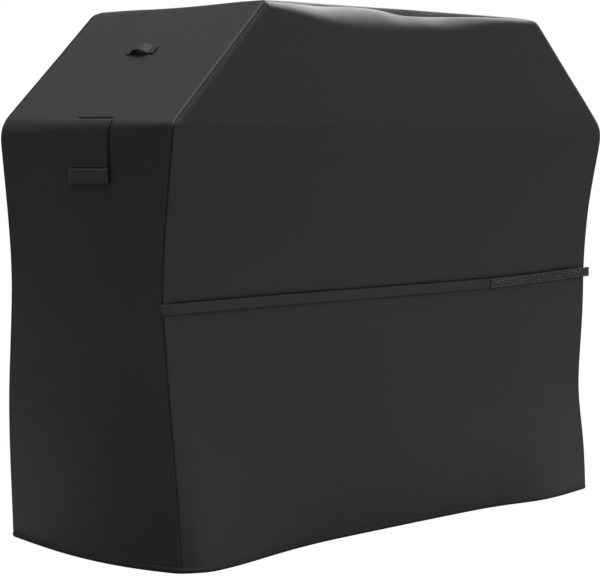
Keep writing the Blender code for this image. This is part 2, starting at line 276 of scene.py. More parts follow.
def slope_shares():
    """Rows up the slope, close together at the sewn edge of the vent flap."""
    near = np.linspace(0.002, 0.034, 14)
    return np.concatenate([near, np.linspace(0.034, 1, SLOPE_ROWS)[1:]])


def whole_path(left, right):
    """A left half, the top, and a second half mirrored to the right."""
    right = right[::-1] * np.array([-1, 1])
    across = np.linspace(0, 1, TOP_ROWS + 1)[1:-1, None]
    return np.concatenate([left, left[-1] + (right[0] - left[-1]) * across, right])


def tangents(path):
    step = np.gradient(path, axis=0)
    return step / np.linalg.norm(step, axis=1)[:, None]


def travelled(path):
    """Distance along a path to each of its points."""
    return np.concatenate([[0], np.cumsum(np.linalg.norm(np.diff(path, axis=0), axis=1))])


def path_normals(path):
    step = tangents(path)
    return np.stack([-step[:, 1], step[:, 0]], 1)


EDGE_LEFT = half_path(NEAR_RADII, corner_inset)
EDGE_RIGHT = half_path(FAR_RADII, no_inset)
EDGE = whole_path(EDGE_LEFT, EDGE_RIGHT)
MIDDLE_HALF = half_path(MIDDLE_RADII, no_inset)
MIDDLE = whole_path(MIDDLE_HALF, MIDDLE_HALF)
COUNT = len(EDGE)
SLOPE_END = len(EDGE_LEFT) - 1 - TOP_ARC_ROWS


def stretch_weights():
    """How much each row of the outline belongs to the slope and to the top."""
    index = np.minimum(np.arange(COUNT), COUNT - 1 - np.arange(COUNT)).astype(float)
    slope = ease((index - WALL_ROWS) / (ARC_ROWS + 6))
    top = ease((index - SLOPE_END) / (TOP_ARC_ROWS + 5))
    return slope, top


ON_SLOPE, ON_TOP = stretch_weights()


# Mesh tools

def grid_faces(rows, columns, offset=0):
    index = np.arange(rows * columns).reshape(rows, columns) + offset
    quads = np.stack([index[:-1, :-1], index[:-1, 1:], index[1:, 1:], index[1:, :-1]], -1)
    return quads.reshape(-1, 4)


def link(made):
    bpy.context.scene.collection.objects.link(made)
    return made


@contextmanager
def edited(mesh):
    """The mesh as a bmesh, written back at the end."""
    tool = bmesh.new()
    tool.from_mesh(mesh)
    yield tool
    tool.to_mesh(mesh)
    tool.free()


def make_mesh(name, points, faces, look, weld=0.0, keep=None):
    """A smooth-shaded object from points and faces."""
    mesh = bpy.data.meshes.new(name)
    with edited(mesh) as tool:
        verts = [tool.verts.new(p) for p in np.asarray(points, float).reshape(-1, 3)]
        for face in faces:
            tool.faces.new([verts[i] for i in face])
        if weld:
            bmesh.ops.remove_doubles(tool, verts=tool.verts, dist=weld)
        if keep:
            gone = [f for f in tool.faces if not keep(f.calc_center_median())]
            bmesh.ops.delete(tool, geom=gone, context="FACES")
    mesh.shade_smooth()
    mesh.materials.append(look)
    return link(bpy.data.objects.new(name, mesh))


def thicken(made, thickness):
    """Gives a sheet its thickness, on the inner side."""
    solidify = made.modifiers.new("thickness", "SOLIDIFY")
    solidify.thickness = thickness
    solidify.offset = -1


def sheet(name, grid, look, thickness, weld=0.0, keep=None):
    """A grid of points as a sheet of cloth."""
    made = make_mesh(name, grid, grid_faces(*grid.shape[:2]), look, weld, keep)
    thicken(made, thickness)
    return made


def copied(source, name, move):
    """The same piece once more, with its mesh moved by a matrix."""
    made = source.copy()
    made.data = source.data.copy()
    made.name = name
    made.data.transform(move)
    return link(made)


def turned(source):
    """The left end's piece on the right end, half a turn about Z away."""
    return copied(source, source.name.replace("left", "right"), HALF_TURN_MATRIX)


def mirrored(source):
    """The front's piece on the back, mirrored front to back."""
    made = copied(source, source.name.replace("front", "back"), Matrix.Scale(-1, 4, (0, 1, 0)))
    made.data.flip_normals()
    return made


def sweep(name, path, sides, ups, profile, look, closed=False):
    """A closed profile of (side, up) offsets carried along a path of points."""
    ring = path[:, None] + sides[:, None] * profile[:, :1] + ups[:, None] * profile[:, 1:]
    ring = np.concatenate([ring, ring[:, :1]], 1)
    if closed:
        ring = np.concatenate([ring, ring[:1]])
    made = make_mesh(name, ring, grid_faces(*ring.shape[:2]), look, weld=1e-6)
    with edited(made.data) as tool:
        bmesh.ops.holes_fill(tool, edges=tool.edges, sides=len(profile))
        bmesh.ops.recalc_face_normals(tool, faces=tool.faces)
    made.data.shade_smooth()
    return made


def label(nodes):
    """Hides the CAD nodes that a piece stands in for."""
    if nodes:
        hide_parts(*nodes)


def place(piece, body, slot=None, *nodes):
    """Puts a piece on a body."""
    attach(piece, body)
    label(nodes)


def bend(piece, body, ends, slot=None, *nodes):
    """Bakes a piece's placement into its mesh and hides the CAD nodes that it stands in for."""
    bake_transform(piece)
    label(nodes)


STITCH_FORM = np.array([
    (-0.5, 0, 0), (-0.3, -0.5, 0.25), (-0.3, 0.5, 0.25), (-0.3, 0, 0.9),
    (0.3, -0.5, 0.25), (0.3, 0.5, 0.25), (0.3, 0, 0.9), (0.5, 0, 0),
    (-0.3, 0, -0.6), (0.3, 0, -0.6),
])
STITCH_FACES = [
    (0, 1, 3), (0, 3, 2), (0, 8, 1), (0, 2, 8), (7, 6, 4), (7, 5, 6), (7, 4, 9), (7, 9, 5),
    (1, 4, 6, 3), (3, 6, 5, 2), (1, 8, 9, 4), (2, 5, 9, 8),
]


def at_distance(distance, reach, values):
    """Values of a path's points, in between them, at a distance along it."""
    return np.array([np.interp(distance, reach, column) for column in values.T])


def stitches(name, rows, pitch, width=0.0006):
    """Thread stitches along each row: a list of (points, outward directions)."""
    points, faces = [], []
    for path, out in rows:
        path, out = np.asarray(path, float), np.asarray(out, float)
        reach = travelled(path)
        for i in range(int(reach[-1] / pitch)):
            start, end = (i + 0.14) * pitch, (i + 0.86) * pitch
            first, last = at_distance(start, reach, path), at_distance(end, reach, path)
            length = np.linalg.norm(last - first)
            along = (last - first) / length
            across = np.cross(at_distance((start + end) / 2, reach, out), along)
            across /= np.linalg.norm(across)
            form = STITCH_FORM * np.array([length, width, width * 0.6])
            turn = np.stack([along, across, np.cross(along, across)])
            faces += [[len(points) + k for k in face] for face in STITCH_FACES]
            points += list((first + last) / 2 + form @ turn)
    return make_mesh(name, points, faces, THREAD)


# Materials

class Graph:
    """Short ways to add and link shader nodes in one tree."""

    def __init__(self, owner):
        owner.use_nodes = True
        self.tree = owner.node_tree

    def add(self, kind, **values):
        node = self.tree.nodes.new(kind)
        for key, value in values.items():
            setattr(node, key, value)
        return node

    def put(self, value, socket):
        if isinstance(value, bpy.types.NodeSocket):
            self.tree.links.new(value, socket)
        else:
            socket.default_value = value

    def maths(self, operation, a, b=0.0):
        node = self.add("ShaderNodeMath", operation=operation)
        self.put(a, node.inputs[0])
        self.put(b, node.inputs[1])
        return node.outputs[0]

    def dot(self, vector, direction):
        node = self.add("ShaderNodeVectorMath", operation="DOT_PRODUCT")
        self.put(vector, node.inputs[0])
        self.put(direction, node.inputs[1])
        return node.outputs["Value"]

    def split_by_camera(self, seen, other, output):
        """One shader for what the camera sees and another for all other light."""
        mix = self.add("ShaderNodeMixShader")
        self.put(self.add("ShaderNodeLightPath").outputs["Is Camera Ray"], mix.inputs[0])
        self.put(other.outputs[0], mix.inputs[1])
        self.put(seen.outputs[0], mix.inputs[2])
        self.put(mix.outputs[0], self.add(output).inputs["Surface"])


class Nodes(Graph):
    """Patterns in object space, for one material."""

    def __init__(self, name):
        self.material = bpy.data.materials.new(name)
        super().__init__(self.material)
        self.shader = self.tree.nodes["Principled BSDF"]
        self.place = self.add("ShaderNodeTexCoord").outputs["Object"]

    def noise(self, scale, detail=3.0):
        node = self.add("ShaderNodeTexNoise")
        self.put(self.place, node.inputs["Vector"])
        self.put(scale, node.inputs["Scale"])
        self.put(detail, node.inputs["Detail"])
        return node.outputs[0]

    def ribs(self, direction, pitch):
        """Parallel ribs of one pitch across an axis or a diagonal, 0 to 1."""
        turns = self.dot(self.place, [2 * math.pi / pitch * d for d in direction])
        wave = self.maths("MULTIPLY", self.maths("SINE", turns), 0.5)
        return self.maths("ADD", wave, 0.5)

    def weave(self, pitch):
        """Crossed ribs that lie in the cloth whichever way it faces."""
        ribs = [self.ribs(axis, pitch) for axis in ((1, 0, 0), (0, 1, 0), (0, 0, 1))]
        facing = self.add("ShaderNodeSeparateXYZ")
        self.put(self.add("ShaderNodeTexCoord").outputs["Normal"], facing.inputs[0])
        total = 0.0
        for k, side in enumerate(facing.outputs):
            crossed = self.maths("MULTIPLY", ribs[(k + 1) % 3], ribs[(k + 2) % 3])
            share = self.maths("MULTIPLY", side, side)
            total = self.maths("ADD", self.maths("MULTIPLY", crossed, share), total)
        return total

    def spread(self, value, low, high):
        node = self.add("ShaderNodeMapRange")
        self.put(value, node.inputs[0])
        self.put(low, node.inputs["To Min"])
        self.put(high, node.inputs["To Max"])
        return node.outputs[0]

    def finish(self, colour, roughness, height, depth, strength, sheen=0.0, specular=0.5):
        """The material, with its colour a little cool and its height as bump."""
        shade = self.add("ShaderNodeCombineColor")
        for socket, tint in zip(shade.inputs, (1.0, 1.0, 1.03)):
            self.put(self.maths("MULTIPLY", colour, tint), socket)
        bump = self.add("ShaderNodeBump")
        self.put(depth, bump.inputs["Distance"])
        self.put(strength, bump.inputs["Strength"])
        self.put(height, bump.inputs["Height"])
        values = {
            "Base Color": shade.outputs[0],
            "Roughness": roughness,
            "Normal": bump.outputs[0],
            "Sheen Weight": sheen,
            "Sheen Roughness": 0.4,
            "Specular IOR Level": specular,
        }
        for socket, value in values.items():
            self.put(value, self.shader.inputs[socket])
        return self.material


def coated_cloth():
    """Coated polyester: fine plain weave under a satin film, faintly clouded."""
    n = Nodes("coated_cloth")
    weave = n.weave(0.0011)
    cloud = n.noise(9.0, 2.0)
    grain = n.noise(900.0, 2.0)
    height = n.maths("ADD", weave, n.maths("MULTIPLY", grain, 0.8))
    colour = n.maths("MULTIPLY", n.spread(cloud, 0.9, 1.1), n.spread(weave, 0.017, 0.023))
    roughness = n.maths("ADD", n.spread(cloud, 0.44, 0.5), n.spread(grain, -0.02, 0.02))
    return n.finish(colour, roughness, height, 0.00012, 0.35, 0.05)


def folded_tape():
    """Thin woven binding tape, blacker than the cloth."""
    n = Nodes("folded_tape")
    weave = n.maths("MULTIPLY", n.ribs((1, 1, 0), 0.0013), n.ribs((0, 0, 1), 0.0013))
    grain = n.noise(700.0, 2.0)
    height = n.maths("ADD", weave, grain)
    colour = n.spread(n.noise(30.0), 0.008, 0.012)
    return n.finish(colour, n.spread(grain, 0.5, 0.62), height, 0.00015, 0.4, 0.05, 0.45)


def strap_webbing():
    """Webbing: slanting herringbone ribs with a dull sheen."""
    n = Nodes("strap_webbing")
    left, right = n.ribs((1, 0, 1), 0.0022), n.ribs((1, 0, -1), 0.0022)
    twill = n.maths("MAXIMUM", left, right)
    grain = n.noise(1200.0, 2.0)
    height = n.maths("ADD", twill, n.maths("MULTIPLY", grain, 0.5))
    colour = n.maths("MULTIPLY", n.spread(twill, 0.015, 0.024), n.spread(n.noise(25.0), 0.9, 1.1))
    return n.finish(colour, n.spread(grain, 0.48, 0.6), height, 0.0002, 0.5, 0.1)


def hook_tape():
    """Backing of the hook tape."""
    n = Nodes("hook_tape")
    grain = n.noise(500.0, 2.0)
    return n.finish(n.spread(grain, 0.008, 0.014), 0.6, grain, 0.0001, 0.3, 0.0, 0.3)


def hook_pile():
    """Moulded hooks, paler than their backing in uneven patches: the paleness is painted glint of
    light on the hooks.
    """
    n = Nodes("hook_pile")
    grain = n.noise(500.0, 2.0)
    # painted glint: the hooks' pale, patchy colour stands in for light catching them
    colour = n.spread(n.noise(45.0), 0.05, 0.24)
    return n.finish(colour, n.spread(grain, 0.32, 0.46), grain, 0.0001, 0.3, 0.0, 0.6)


def vent_mesh():
    n = Nodes("vent_mesh_yarn")
    grain = n.noise(900.0, 2.0)
    colour = n.spread(grain, 0.006, 0.011)
    return n.finish(colour, n.spread(grain, 0.55, 0.7), grain, 0.0001, 0.4, 0.1)


def thread():
    n = Nodes("thread")
    twist = n.ribs((1, 1, 1), 0.0006)
    return n.finish(n.spread(twist, 0.014, 0.024), 0.5, twist, 0.0001, 0.4, 0.1)


CLOTH = coated_cloth()
TAPE = folded_tape()
WEBBING = strap_webbing()
HOOK = hook_tape()
# hook pile colour carries painted glint of light on the hooks
PILE_PAINTED_GLINT = hook_pile()
MESH = vent_mesh()
THREAD = thread()


# Front and back panels

def edge_profiles():
    """For each outline row, stations (in from the edge, back from the face), seam first."""
    wall_in = mm(3.4, 2.7, 2.3, 2.4, 2.8, 3.5, 4.4, 5.6, 7.5, 10, 14, 20, 30, 44, 66)
    wall_back = mm(3.6, 2.9, 2.1, 1.5, 1.0, 0.6, 0.3, 0.12, 0.02, count=15)
    slope_in = mm(10, 7.6, 5.8, 5.0, 5.3, 6.2, 7.5, 9.1, 11, 13, 15.2, 17.8, 22.5, 34, 66)
    slope_back = mm(5.6, 5.4, 4.9, 4.2, 3.6, 3.1, 2.5, 1.8, 1.0, 0.3, -0.1, -0.2, count=15)
    x = EDGE[:, 0]
    slope_in = slope_in - 4.9 * MM * (x > 0)[:, None]
    top_in, top_back = roll_profile(roll_height(x)[:, None])
    slope, top = ON_SLOPE[:, None], ON_TOP[:, None]
    inwards = wall_in * (1 - slope) + slope_in * slope
    back = wall_back * (1 - slope) + slope_back * slope
    return inwards * (1 - top) + top_in * top, back * (1 - top) + top_back * top


def roll_profile(height):
    """Stations along the top edge: a dive under the strip's fold, then the soft roll."""
    share = np.array([[0, 0.03, 0.07, 0.13, 0.21, 0.31, 0.43, 0.56, 0.7, 0.85, 1]])
    roll = height * (0.55 * (1 - share) ** 1.6 + 0.027 * np.exp(-share / 0.06))
    after = height + (RING_REACH - height) * np.array([[0.25, 1.0]])
    dive_in = np.tile(mm(3.2, 1.3), (len(height), 1))
    inwards = np.concatenate([dive_in, height * share, after], 1)
    back = np.concatenate([roll[:, :1] + mm(1.0, 0.7), roll, 0 * after], 1)
    return inwards, back


def inner_half(half, inset):
    """One half of the outline drawn in by the reach of the edge profiles, row for row."""
    reach = travelled(half)
    bend_row = WALL_ROWS + ARC_ROWS // 2
    corner_z = SHOULDER - RING_REACH * math.tan(CREASE_TURN / 2)
    z = PANEL_FLOOR + (corner_z - PANEL_FLOOR) * reach[:bend_row + 1] / reach[bend_row]
    wall = np.stack([-half_length(z) + inset(z) + RING_REACH, z], 1)
    top = np.array([-HALF_TOP + RING_REACH * math.tan(SLOPE / 2), TOP - RING_REACH])
    share = (reach[bend_row + 1:] - reach[bend_row]) / (reach[-1] - reach[bend_row])
    return np.concatenate([wall, wall[-1] + (top - wall[-1]) * share[:, None]])


def seam_line():
    """Outline of the seam in x and z: the edge path, sunk along the top."""
    line = EDGE.copy()
    x = line[:, 0]
    line[:, 1] += ON_TOP * (ridge_rise(x) - seam_drop(x))
    return line


SEAM = seam_line()
INWARDS, BACK = edge_profiles()


def on_face(flat, lean, back=0):
    """Points in x and z put on a panel's face, or some way behind it."""
    x, z = np.moveaxis(flat, -1, 0)
    return np.stack([x, back - front_depth(x, z, lean), z], -1)


def panel_points(lean):
    """Edge ring and middle of a panel as two grids, drawn in under a strap of this lean."""
    left, right = inner_half(EDGE_LEFT, corner_inset), inner_half(EDGE_RIGHT, no_inset)
    inner = whole_path(left, right)
    direction = inner - SEAM
    reach = np.linalg.norm(direction, axis=1)[:, None]
    direction /= reach
    steps = INWARDS * (reach / RING_REACH) ** (INWARDS / RING_REACH)
    flat = SEAM[:, None] + direction[:, None] * steps[..., None]
    flat[:, -1] = inner
    across = np.linspace(0, 1, TOP_ROWS + 1)[None, :, None]
    middle = left[:, None] * (1 - across) + right[:, None] * np.array([-1, 1]) * across
    return on_face(flat, lean, BACK), on_face(middle, lean)


RING = panel_points(1)[0]
BACK_RING = panel_points(-1)[0]


def panel(name, lean):
    """A panel facing -Y, with its outer side outwards."""
    ring, middle = panel_points(lean)
    points = np.concatenate([ring.reshape(-1, 3), middle.reshape(-1, 3)])
    ring_faces = grid_faces(*ring.shape[:2])[:, ::-1]
    middle_faces = grid_faces(*middle.shape[:2], offset=ring.shape[0] * ring.shape[1])
    made = make_mesh(name, points, np.concatenate([ring_faces, middle_faces]), CLOTH, weld=2e-5)
    waist = Vector((0, 0, WAIST))
    with edited(made.data) as tool:
        bmesh.ops.recalc_face_normals(tool, faces=tool.faces)
        centre = min(tool.faces, key=lambda f: (f.calc_center_median() - waist).xz.length)
        if centre.normal.y > 0:
            bmesh.ops.reverse_faces(tool, faces=tool.faces)
    thicken(made, CLOTH_THICKNESS)
    return made


def panels():
    front = panel("front_panel_cloth", 1)
    back = panel("back_panel_cloth", -1)
    back.data.transform(HALF_TURN_MATRIX)
    place(front, "cover", "cloth", "front_panel")
    place(back, "cover", "cloth", "back_panel")


# Top and end strip

def strip_edge():
    """For each outline row, columns near a seam: how far in from it, and how far sunk."""
    near = mm(0, 0.25, 0.7, 1.5, 2.7, 4.3, 6.5, 10, 15, 22, 32, 45, 60)
    count = len(near)
    wall = mm(5.2, 2.4, 0.9, 0.1, -0.35, -0.35, -0.1, count=count)
    slope = mm(11, 9.0, 6.8, 4.2, 1.7, 0.5, 0.0, -0.15, count=count)
    top = mm(3.0, 1.6, 0.3, count=count)
    sink = wall + (slope - wall) * ON_SLOPE[:, None]
    sink = sink + (top - sink) * ON_TOP[:, None]
    drop = (seam_drop(EDGE[:, 0]) * ON_TOP)[:, None]
    drop_share = np.array([1, 1, 1, 0.12] + [0] * (count - 4))
    lean = np.array([0, 0, 0, 0.25, 0.27, 0.27, 0.27, 0.27, 0.25, 0.2, 0.15, 0.1, 0])
    return near + drop * lean, sink + drop * drop_share


def strip_columns():
    """For each outline row, y from the front seam to the back seam, and how far sunk."""
    front_in, front_sink = strip_edge()
    back_in, back_sink = front_in[::-1], front_sink[::-1]
    front = RING[:, :1, 1] + SEAM_GAP
    back = -(BACK_RING[:, :1, 1] + SEAM_GAP)[::-1]
    start, end = front + front_in[:, -1:], back - back_in[:, -1:]
    middle = start + (end - start) * np.linspace(0, 1, 48)[1:-1]
    y = np.concatenate([front + front_in, middle, (back - back_in)[:, ::-1]], 1)
    sink = np.concatenate([front_sink, 0 * middle, back_sink[:, ::-1]], 1)
    return y, sink, front, back


def strip_points():
    """Rows round the outline, columns from the back seam to the front seam."""
    y, sink, front, back = strip_columns()
    x, z = EDGE.T
    rise = ON_TOP * ridge_rise(x)
    front_edge = np.stack([x, z + rise], 1)[:, None]
    back_edge = front_edge[::-1] * np.array([-1, 1])
    share = (y - front) / (back - front)
    sag = TOP_SAG * np.sin(np.pi * np.clip(share, 0, 1)) ** 2 * ON_TOP[:, None]
    crown = rise[:, None] * (1 - share) + rise[::-1, None] * share - sag
    middle = MIDDLE[:, None] + crown[..., None] * np.array([0, 1])
    to_front = 1 - ease((y - front) / EDGE_REACH)[..., None]
    to_back = 1 - ease((back - y) / EDGE_REACH)[..., None]
    points = front_edge * to_front + back_edge * to_back + middle * (1 - to_front - to_back)
    inside = ease((y - front) / 0.08) * ease((back - y) / 0.08)
    along = np.cumsum(np.linalg.norm(np.gradient(MIDDLE, axis=0), axis=1))
    waves = inside * ripple(along[:, None], y, 9, 0.0008)
    push = waves - sink - flap_slit(points[..., 1], y)
    points = points + path_normals(MIDDLE)[:, None] * push[..., None]
    on_left = (np.arange(COUNT) < COUNT / 2)[:, None]
    t = 2 * share - 1
    out = np.where(on_left, -end_out(z[:, None], t), end_out(z[:, None], -t))
    return np.stack([points[..., 0] + out, y, points[..., 1]], -1)[:, ::-1]


def crease_point(up, y):
    """Outer face of the left end by distance above the shoulder's start, and its normals."""
    angle = np.clip(up / CREASE_RADIUS, 0, CREASE_TURN)
    beyond = np.clip(up - CREASE_RADIUS * CREASE_TURN, 0, None)
    x = -HALF_LENGTH + CREASE_RADIUS * (1 - np.cos(angle)) + beyond * math.sin(CREASE_TURN)
    z = CREASE_START + CREASE_RADIUS * np.sin(angle) + beyond * math.cos(CREASE_TURN)
    z = z + np.minimum(up, 0)
    x = x - end_out(z, np.clip(y / HALF_DEPTH_SHOULDER, -1, 1))
    return np.stack([x, y + 0 * x, z], -1), np.stack([-np.cos(angle), 0 * angle, np.sin(angle)], -1)


FLAP_SEWN = CREASE_RADIUS * CREASE_TURN + 0.0045
FLAP_REACH = CREASE_START - FLAP_LOW.z


def flap_seam(y):
    """Distance of the flap's sewn edge above the crease's start, a little less at the front."""
    return FLAP_SEWN - 0.0025 * np.clip((FLAP_HIGH.y - y) / (FLAP_HIGH.y - FLAP_LOW.y), 0, 1)


def flap_slit(points_z, y):
    """Depth of the groove that the vent flap comes out of, on both slopes."""
    sunk = np.zeros_like(y)
    for side, rows in ((1, slice(0, COUNT // 2)), (-1, slice(COUNT // 2, COUNT))):
        along = y[rows] * side
        line, _ = crease_point(flap_seam(along) + 0.0006, along)
        away = np.abs(points_z[rows] - line[..., 2])
        across = ease((along - FLAP_LOW.y) / 0.003) * ease((FLAP_HIGH.y - along) / 0.003)
        sunk[rows] = SLIT_DEPTH * across * np.interp(away, [0.0006, 0.0022], [1, 0])
    return sunk


def outside_windows(centre):
    """Whether a face lies outside the window cut in each end."""
    side = -1 if centre.x > 0 else 1
    in_y = TAPE_LOW.y + CUT_INSET < centre.y * side < TAPE_HIGH.y - CUT_INSET
    in_z = TAPE_LOW.z + CUT_INSET < centre.z < TAPE_HIGH.z - CUT_INSET
    on_end = abs(centre.x) > HALF_LENGTH - 0.05
    return not (on_end and in_y and in_z)


def top_and_end_strip():
    grid = strip_points()
    strip = sheet("top_and_end_cloth", grid, CLOTH, CLOTH_THICKNESS, keep=outside_windows)
    place(strip, "cover", "cloth", "top_and_end_panel")


# Seam tapes inside, and the hem

def seam_tapes():
    """A folded tape inside each long seam, between two stations of the panel's edge."""
    share = np.linspace(0, 1, 7)[None, :, None]
    behind = np.array([0, 0.0028, 0]) + np.sin(np.pi * share) * np.array([0, 0.0012, 0])
    for face, ring in (("front", RING), ("back", BACK_RING)):
        outer, inner = ring[2:-2, 6:7], ring[2:-2, 11:12]
        grid = outer * (1 - share) + inner * share + behind
        tape = sheet(face + "_seam_tape", grid[:, ::-1], TAPE, 0.0008)
        if face == "back":
            tape.data.transform(HALF_TURN_MATRIX)
        place(tape, "cover", "binding", face + "_seam_binding")


def hem_line(z, lean):
    """A panel's bottom edge from its left corner to its right one."""
    x = half_length(z) * np.linspace(-1, 1, 181)
    return on_face(np.stack([x, 0 * x + z], 1), lean)


def hem_half(z, lean):
    """One panel's bottom edge, led in by the end on its left."""
    line, other = hem_line(z, lean), hem_line(z, -lean)
    t = np.linspace(1, -1, 81)[1:-1]
    low, high = line[0, 1], -other[-1, 1]
    y = low + (high - low) * (t + 1) / 2
    left = np.stack([line[0, 0] - end_out(z, t), y, np.full_like(y, z)], 1)
    return np.concatenate([left, line])


def hem_path(z):
    """The hem's outline from above, anticlockwise, starting at the back left corner."""
    return np.concatenate([hem_half(z, 1), hem_half(z, -1) * HALF_TURN])


def round_corners(path, times):
    """Averages neighbours, so the ring turns its corners softly."""
    for _ in range(times):
        path = (np.roll(path, 1, 0) + path * 2 + np.roll(path, -1, 0)) / 4
    return path


def hem():
    """The folded hem: a soft bead round the bottom with one row of stitches."""
    low = round_corners(hem_path(0.0), 3)
    high = round_corners(hem_path(HEM_HEIGHT), 3)
    ups = high - low
    ups /= ups[:, 2:]
    step = np.roll(low, -1, 0) - np.roll(low, 1, 0)
    sides = np.stack([step[:, 1], -step[:, 0], np.zeros(len(low))], 1)
    sides /= np.linalg.norm(sides, axis=1)[:, None]
    profile = mm(
        (0.3, 12.6), (1.0, 13.0), (1.5, 12.5), (1.6, 11.6), (1.35, 10.9), (1.9, 10.1),
        (2.6, 8.4), (2.9, 6.2), (2.7, 4.0), (1.9, 1.8), (0.5, 0.4), (-1.4, 0.0), (-3.2, 0.6),
        (-4.2, 2.4), (-4.4, 5.5), (-3.9, 9.0), (-3.3, 12.4), (-2.2, 12.8), (-1.0, 12.4),
    )
    bead = sweep("hem_bead", low, sides, ups, profile[::-1], TAPE, closed=True)
    place(bead, "cover", "binding", "hem_binding")
    line = low + ups * 11.0 * MM + sides * 1.45 * MM
    row = [np.concatenate([path, path[:1]]) for path in (line, sides)]
    place(stitches("hem_stitching", [row], 0.0036, 0.0007), "cover")


# Waist straps

def strap_frame(x, lift):
    """Points lifted off the strap's outer face, with their outward and upward directions."""
    points = np.stack([x, -strap_outs(x) - lift, strap_height(x)], 1)
    up = np.array([-math.sin(STRAP_TILT), 0, math.cos(STRAP_TILT)])
    ups = np.tile(up, (len(x), 1))
    return points, np.cross(tangents(points), ups), ups


def strap_spot(x, lift):
    """One such point, with its directions."""
    return [values[0] for values in strap_frame(np.array([x, x + 1e-4]), lift)]


def strap_outs(x):
    """Distance of the outer face from the middle plane: in to the seam at the sewn end."""
    start = STRAP_LOW.x
    dip = 1 - ease((x - start) / 0.026)
    slack = 0.0005 * np.sin(x * 9.0) * ease((x - start) / 0.1)
    return STRAP_OUT - 0.0052 * dip + slack


def ribbon_profile(width, thickness):
    """Rounded flat section: (out, across), outer face first."""
    half, round_off = width / 2, thickness / 2
    across = np.linspace(-1, 1, 8)
    face = [(0.0, a * (half - round_off)) for a in across]
    selvedge = 0.12 * thickness
    face[0] = (selvedge, face[0][1])
    face[-1] = (selvedge, face[-1][1])
    edge_top = [(-round_off * 0.4, half - round_off * 0.25), (-round_off, half)]
    edge_top += [(-thickness + round_off * 0.4, half - round_off * 0.25)]
    back = [(-thickness, -a * (half - round_off)) for a in across]
    edge_low = [(-o - thickness, -a) for o, a in edge_top]
    return np.array(face + edge_top + back + [(o, a) for o, a in edge_low])


def strap_ribbon(name, x, lift, width, thickness, look):
    """A ribbon along the strap's line, its outer face lifted off the strap's."""
    points, outs, ups = strap_frame(x, lift)
    return sweep(name, points, outs, ups, ribbon_profile(width, thickness), look)


def straps():
    """Webbing sewn in at the left seam and free beyond its tack, front and back."""
    near = np.linspace(STRAP_LOW.x - 0.001, -0.70, 24)
    x = np.concatenate([near, np.linspace(near[-1], TAIL_HIGH.x, 170)[1:]])
    front = strap_ribbon("front_waist_strap", x, 0, STRAP_WIDTH, STRAP_THICKNESS, WEBBING)
    for face, side, strap in (("front", -1, front), ("back", 1, mirrored(front))):
        ends = [Vector((TAIL_LOW.x + d, side * STRAP_OUT, STRAP_HEIGHT)) for d in (-0.006, 0.006)]
        nodes = face + "_strap", face + "_strap_tail"
        bend(strap, face + "_strap_end", ends, "webbing", *nodes)
    hooks()
    strap_tacks()


HOOK_PITCH = 0.006
HOOK_ROWS = 5
HOOK_ROW_PITCH = 0.0047
HOOK_SIZE = 0.0020
HOOK_LIFT = 0.0007
HOOK_MARGIN = 0.004
HOOK_LEVELS = ((0.0, 0.62), (0.5, 0.7), (0.85, 1.0), (1.1, 0.8), (1.25, 0.35))


def hook_faces(first, sides):
    """Walls between the rings of one hook, and its cap."""
    top = first + (len(HOOK_LEVELS) - 1) * sides
    faces = []
    for level in range(first, top, sides):
        for k in range(sides):
            a, b = level + k, level + (k + 1) % sides
            faces.append((a, b, b + sides, a + sides))
    return faces + [range(top, top + sides)]


def hook_pile_mesh(low, high):
    """Staggered rows of small moulded hooks, a little uneven in place and size."""
    rng = np.random.default_rng(3)
    around = np.linspace(0, 2 * math.pi, 8)[:-1]
    ring = np.stack([np.cos(around), 0 * around, np.sin(around)], 1)
    points, faces = [], []
    for i in range(int((high - low - HOOK_MARGIN) / HOOK_PITCH)):
        for j in range(HOOK_ROWS):
            x = low + HOOK_MARGIN + HOOK_PITCH * (i + 0.5 * (j % 2)) + rng.normal(0, 0.0003)
            spot, out, up = strap_spot(x, HOOK_LIFT)
            across = (j - (HOOK_ROWS - 1) / 2) * HOOK_ROW_PITCH + rng.normal(0, 0.0002)
            size = rng.uniform(0.8, 1.12) * HOOK_SIZE
            faces += hook_faces(len(points), len(ring))
            for height, radius in HOOK_LEVELS:
                points += list(spot + up * across + (out * height + ring * radius) * size)
    return make_mesh("front_hook_pile", points, faces, PILE_PAINTED_GLINT)


def hooks():
    """Hook tape on the tails: a thin backing with moulded hooks on it."""
    low, high = HOOK_LOW.x, HOOK_HIGH.x
    x = np.linspace(low, high, 60)
    backing = strap_ribbon("front_hook_backing", x, HOOK_LIFT, 0.0236, 0.0006, HOOK)
    pile = hook_pile_mesh(low, high)
    for front, nodes in ((backing, ["_strap_hook_tape"]), (pile, [])):
        for face, piece in (("front", front), ("back", mirrored(front))):
            place(piece, face + "_strap_end", "hook", *[face + node for node in nodes])


def strap_tacks():
    """A boxed cross of stitches before each strap's tail, and one row at its sewn end."""
    left, right, half = TAIL_LOW.x - 0.034, TAIL_LOW.x - 0.010, 0.0095
    sewn = STRAP_LOW.x + 0.030
    lines = [
        [(left, -half), (right, -half), (right, half), (left, half), (left, -half)],
        [(left, -half), (right, half)],
        [(left, half), (right, -half)],
        [(sewn, -half), (sewn, half)],
    ]
    rows = []
    for line in lines:
        spots = [strap_spot(x, 0.0001) for x, _ in line]
        path = [spot + up * across for (spot, _, up), (_, across) in zip(spots, line)]
        rows.append((path, [out for _, out, _ in spots]))
    front = stitches("front_strap_stitching", rows, 0.0026)
    for piece in (front, mirrored(front)):
        place(piece, "cover")


# Vents

LIP_TOP = LIP_HIGH.z - CREASE_START


